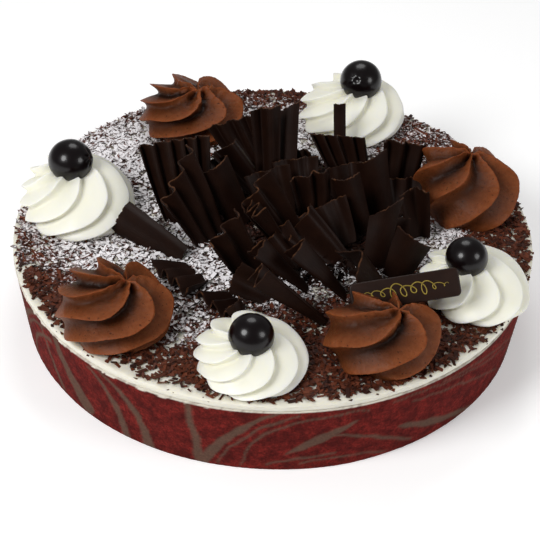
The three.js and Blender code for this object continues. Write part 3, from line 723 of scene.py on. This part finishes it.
# Dark chocolate that set against a mould gives the eye a smooth, nearly black face with a silky light on it,
# faintly clouded.
CAST_CLOUD = 6
cast_chocolate, shader = finish("cast_dark_chocolate", Roughness=0.42, Specular_IOR_Level=0.22)
place = add(cast_chocolate, "ShaderNodeTexCoord").outputs["Object"]
bloom = add(cast_chocolate, "ShaderNodeTexNoise",
            {"Vector": place, "Scale": 1 / (CAST_CLOUD * MM), "Detail": 4.0}).outputs["Fac"]
tone = add(cast_chocolate, "ShaderNodeMix",
           {SHARE: bloom, FIRST: linear("#140805"), SECOND: linear("#28140a")},
           data_type="RGBA").outputs[MIXED]
cast_chocolate.node_tree.links.new(tone, shader.inputs["Base Color"])
plaque = model("plaque", set_plaque(points) * MM, faces, cast_chocolate)
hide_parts("plaque")
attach(plaque, "root")

# Edible gold, brushed on, gives the eye a thin dull metal with uneven cover.
UNEVEN = 1.5
gold, shader = finish("edible_gold_paint", Roughness=0.5, Metallic=0.3)
place = add(gold, "ShaderNodeTexCoord").outputs["Object"]
laid_on = add(gold, "ShaderNodeTexNoise",
              {"Vector": place, "Scale": 1 / (UNEVEN * MM), "Detail": 2.0}).outputs["Fac"]
shine = add(gold, "ShaderNodeMix", {SHARE: laid_on, FIRST: linear("#766222"), SECOND: linear("#a89236")},
            data_type="RGBA").outputs[MIXED]
gold.node_tree.links.new(shine, shader.inputs["Base Color"])


def painted_line(centre_line, width):
    """Points and faces of a low painted bead along a line on the plaque's face."""
    line = np.array(centre_line)
    step = np.gradient(line, axis=0)
    sideways = np.stack([-step[:, 1], step[:, 0]], -1) / np.linalg.norm(step, axis=1)[:, None]
    thin = np.sin(np.linspace(0.15, math.pi - 0.15, len(line)))[:, None] ** 0.5
    face = PLAQUE_THICKNESS / 2
    bead = []
    for across, height in ((-1, -0.05), (1, -0.05), (0.6, 0.16), (-0.6, 0.16)):
        side = line + sideways * across * thin * width / 2
        bead.append(np.column_stack([side, np.full(len(line), face + height)]))
    return skin(np.stack(bead, 1))


# One running scroll of loops, drawn small at both ends.
SCROLL_LENGTH, SCROLL_LOOPS, BRUSH = 40, 8.5, 0.62
run = np.linspace(0, 1, 400)
swell = np.sin(math.pi * run) ** 0.5
phase = 2 * math.pi * SCROLL_LOOPS * run
loop_x = SCROLL_LENGTH * (run - 0.5) - 2.3 * swell * np.sin(phase) + 0.6 * swell * np.cos(phase)
loop_y = -2.7 * swell * np.cos(phase) * (1 + 0.35 * np.sin(0.37 * phase))
points, faces = painted_line(np.stack([loop_x, loop_y], -1), BRUSH)
scroll = model("plaque_scroll", set_plaque(points) * MM, faces, gold)
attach(scroll, "root")

# ---------------------------------------------------------------- chocolate ruffles
# Thin sheets scraped off a slab of dark chocolate while it is just soft, so that they gather in pleats
# under the scraper. They are set in a loose heap, feet together and open ends up.

SHEET = 1.0  # thickness
FOOT_LEVEL = CREAM_TOP + 1.3

# Tempered dark chocolate gives the eye a nearly black sheet with a dull silky light along its scrape lines, a
# little clouded, and dry and paler brown where it broke.
SHEET_CLOUD, CHIPPED = 7, 5
dark_chocolate, shader = finish("tempered_dark_chocolate", Roughness=0.5, Specular_IOR_Level=0.11)
place = add(dark_chocolate, "ShaderNodeTexCoord").outputs["Object"]
bloom = add(dark_chocolate, "ShaderNodeTexNoise",
            {"Vector": place, "Scale": 1 / (SHEET_CLOUD * MM), "Detail": 4.0}).outputs["Fac"]
tone = add(dark_chocolate, "ShaderNodeMix",
           {SHARE: bloom, FIRST: linear("#120704"), SECOND: linear("#24120a")},
           data_type="RGBA").outputs[MIXED]
chips = add(dark_chocolate, "ShaderNodeTexNoise",
            {"Vector": place, "Scale": 1 / (CHIPPED * MM), "Detail": 2.0}).outputs["Fac"]
chips = add(dark_chocolate, "ShaderNodeMapRange",
            {"Value": chips, "From Min": 0.5, "From Max": 0.62, "To Min": 0.12}).outputs["Result"]
broken = add(dark_chocolate, "ShaderNodeAttribute", attribute_name="broken").outputs["Fac"]
bare = add(dark_chocolate, "ShaderNodeMath", {0: broken, 1: chips}, operation="MULTIPLY").outputs["Value"]
torn = add(dark_chocolate, "ShaderNodeMix", {SHARE: bare, FIRST: tone, SECOND: linear("#50321f")},
           data_type="RGBA").outputs[MIXED]
sheet_place = add(dark_chocolate, "ShaderNodeAttribute", attribute_name="sheet").outputs["Vector"]
scrape = add(dark_chocolate, "ShaderNodeTexNoise",
             {"Vector": sheet_place, "Scale": 1.0, "Detail": 3.0}).outputs["Fac"]
lines = add(dark_chocolate, "ShaderNodeBump", {"Height": scrape, "Distance": 0.25 * MM, "Strength": 0.5})
dark_chocolate.node_tree.links.new(torn, shader.inputs["Base Color"])
dark_chocolate.node_tree.links.new(lines.outputs["Normal"], shader.inputs["Normal"])


def sheet_faces(rows, wide):
    """Faces of a thin closed sheet, for the points of its front and then those of its back, row by row."""
    back_side = rows * wide
    cells = [(r * wide + c) for r in range(rows - 1) for c in range(wide - 1)]
    faces = [(a, a + 1, a + wide + 1, a + wide) for a in cells]
    faces += [(b, b + wide, b + wide + 1, b + 1) for b in (back_side + a for a in cells)]
    foot, end = range(wide), range((rows - 1) * wide, rows * wide)
    left, right = range(0, rows * wide, wide), range(wide - 1, rows * wide, wide)
    for border, turned in ((foot, False), (end, True), (left, True), (right, False)):
        for a, b in zip(border, border[1:]):
            strip = (a, back_side + a, back_side + b, b)
            faces.append(strip[::-1] if turned else strip)
    return faces


def ruffle(name, at, heading, rise, roll, length, width, slant=0, folds=0, depth=0, lean=0, cup=0, seed=0):
    """A pleated sheet. Its angles, sizes and folds are those of the solid that it replaces.

    slant makes one side longer, lean sets the pleats over to one side, and cup hollows the whole sheet.
    """
    compass, climb, twist = (math.radians(a) for a in (heading, rise, roll))
    along = np.array([math.cos(compass) * math.cos(climb), math.sin(compass) * math.cos(climb),
                      math.sin(climb)])
    flat = np.array([math.sin(compass), -math.cos(compass), 0])
    across = flat * math.cos(twist) - np.cross(along, flat) * math.sin(twist)
    normal = np.cross(across, along)
    # s runs across the sheet, from -1 to 1, and v along it, from 0 at the foot to 1 at the broken end.
    columns = int(max(24, folds * 18))
    s = np.linspace(-1, 1, columns + 1)[None, :, None]
    v = np.append(np.linspace(0, 1 - 0.6 / length, 16), 1)[:, None, None]
    dice = np.random.default_rng(seed)
    waver = 0.06 * np.sin(3.1 * s + dice.uniform(0, 6)) * (1 - s * s)
    foot_width = max(min(width, 10), 0.6 * width)
    half_width = (foot_width + (width - foot_width) * v**0.7) / 2
    # The pleats open out towards the broken end, and the hand that lays them never keeps them quite even.
    fold = depth * (0.3 + 0.7 * v) * np.cos(math.pi * folds * (s + waver + 1))
    hollow = cup * (1 - s * s) * (0.5 + 0.5 * v)
    tears = [noise.noise(Vector((6 * x, seed, 0))) + 0.5 * noise.noise(Vector((19 * x, seed, 5)))
             for x in s.ravel()]
    reach = length + slant * s / 2 - 0.9 + 0.9 * np.array(tears)[None, :, None]
    ripple = 0.3 * np.sin(2.2 * math.pi * v + dice.uniform(0, 6)) * v
    middle = (np.array([at[0], at[1], FOOT_LEVEL]) + along * v * reach + across * s * half_width
              + normal * (hollow + ripple) + (normal + lean * across) * fold)
    face = np.cross(np.gradient(middle, axis=1), np.gradient(middle, axis=0))
    face /= np.linalg.norm(face, axis=-1)[..., None]
    thick = SHEET / 2 * (1 - 0.25 * v)
    front, rear = middle + face * thick, middle - face * thick
    points = np.concatenate([front.reshape(-1, 3), rear.reshape(-1, 3)])
    points[:, 2] = np.maximum(points[:, 2], CREAM_TOP + 0.1)
    rows, wide = middle.shape[:2]
    broken = np.zeros((2, rows, wide))
    broken[:, -1] = 1
    made = model(name, points * MM, sheet_faces(rows, wide), dark_chocolate, broken=broken.ravel())
    made.data.set_sharp_from_angle(angle=math.radians(60))
    # Scrape lines are about half a millimetre apart and run the length of the sheet.
    spread = np.broadcast_to(s * width / 2, (rows, wide, 1))
    run = np.broadcast_to(v * length, (rows, wide, 1))
    sheet = np.concatenate([spread * 2.2, run * 0.12, 0 * run + seed], -1)
    sheet = np.stack([sheet, sheet + [0, 0, 50]]).ravel().astype("f")
    made.data.attributes.new("sheet", "FLOAT_VECTOR", "POINT").data.foreach_set("vector", sheet)
    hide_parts(name)
    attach(made, "root")


# The solids' own rows: place of the foot, then heading, rise and roll in degrees, and sizes in mm.
RUFFLES = [
    # front of the heap
    ((24, -72), 184, 42, -24, 42, 14, dict(folds=1.5, depth=5, lean=0.2)),
    ((-11, -80), 150, 55, 0, 16, 11, dict(cup=4)),
    ((-17, -58), 223, 16, 0, 17, 24, dict(folds=2.5, depth=2.4, lean=0.6)),
    ((-36, -40), 223, 16, 0, 18, 28, dict(folds=3, depth=2.6, lean=0.6)),
    ((34, -52), 177, 49, -30, 36, 11, dict(folds=1, depth=-5.5)),
    ((16, -48), 185, 47, -25, 35, 9, dict(folds=1, depth=-5)),
    ((32, -27), 166, 44, 52, 29, 22, dict(slant=4, folds=1.5, depth=2.4, lean=0.4)),
    ((-8, -42), 184, 63, 53, 35, 24, dict(slant=4, folds=2.5, depth=2.8, lean=0.4)),
    ((8, -20), 188, 56, -25, 33, 14, dict(folds=2, depth=4, lean=0.2)),
    ((11, -16), 172, 54, 43, 38, 24, dict(slant=6, folds=2, depth=3, lean=0.4)),
    # right half
    ((54, -46), 190, 50, -12, 26, 30, dict(folds=1, depth=-5)),
    ((59, -38), 32, 65, -64, 24, 20, dict(slant=-5, cup=4)),
    ((49, -30), 67, 64, -24, 31, 14, dict(slant=12, cup=3)),
    ((73, -6), 135, 75, 45, 27, 15, dict(folds=1, depth=4)),
    ((44, -2), 143, 68, 56, 32, 14, dict(cup=6)),
    ((54, 11), 122, 69, 41, 33, 16, dict(slant=6, cup=6)),
    ((22, -3), 120, 71, 36, 31, 22, dict(slant=4, folds=2.5, depth=2.8, lean=0.4)),
    # left half
    ((-30, -12), 168, 63, 37, 40, 30, dict(slant=17, folds=3.5, depth=3, lean=0.4)),
    ((-16, 2), 168, 64, 54, 37, 18, dict(cup=5)),
    ((-7, 29), 175, 53, 53, 33, 18, dict(slant=-4, folds=1.5, depth=2.4, lean=0.4)),
    ((-43, 1), 118, 64, 31, 43, 36, dict(folds=5, depth=2.5, lean=0.6)),
    # back of the heap
    ((-3, 29), 100, 69, 13, 45, 15, dict(slant=2, folds=1.5, depth=2.8)),
    ((-11, 50), 148, 56, 59, 29, 24, dict(slant=-4, folds=3, depth=2)),
    ((6, 33), 88, 62, 19, 43, 10, dict(slant=6, cup=2)),
    ((63.5, 30), 75, 71, -17, 29, 25, dict(folds=2.5, depth=3, lean=0.4)),
    ((41, 40), 136, 60, 42, 27, 28, dict(slant=-12, folds=4.5, depth=2.2, lean=0.5)),
    ((19, 41), 148, 62, 51, 19, 10, dict(slant=-6, folds=2, depth=2)),
    ((34, 55), 97, 70, 0, 34, 6, dict(cup=1)),
    # low ones between the others
    ((4, 8), 130, 60, 40, 26, 24, dict(folds=2, depth=2)),
    ((34, -16), 135, 50, 40, 24, 26, dict(folds=2, depth=2)),
    ((66, 12), 100, 60, 0, 20, 22, dict(folds=2, depth=2)),
    ((-28, 16), 130, 55, 40, 24, 26, dict(folds=2, depth=2)),
    ((36, 22), 120, 60, 30, 20, 26, dict(folds=2, depth=2)),
    ((14, 20), 110, 60, 20, 24, 24, dict(folds=2, depth=2)),
    ((2, -56), 180, 30, 50, 24, 16, dict(folds=1, depth=2)),
    ((57, -20), 90, 62, 0, 19, 20, dict(folds=1, depth=2)),
    ((12, -34), 160, 48, 30, 22, 24, dict(folds=2, depth=2)),
]
for number, (*row, shape) in enumerate(RUFFLES, 1):
    ruffle(f"ruffle_{number:02d}", *row, **shape, seed=number)
# Broken bits of the ruffles lie thick between their feet. So thick and dark, they also stand in for the shade
# there, as painted shade.
flakes("ruffle_crumbs_and_shade", dark_chocolate, 7000, length=(4, 9), width=(2, 4.5), thickness=0.9,
       kept=lambda x, y: patch(x, y, (16, 6), 54, 8) * 0.9, seed=13, tilt=0.8)
ruffle("ruffle_loose", (-43, -27), 148, 14, 74, 40, 20, slant=-4, folds=1, depth=2, cup=5, seed=50)
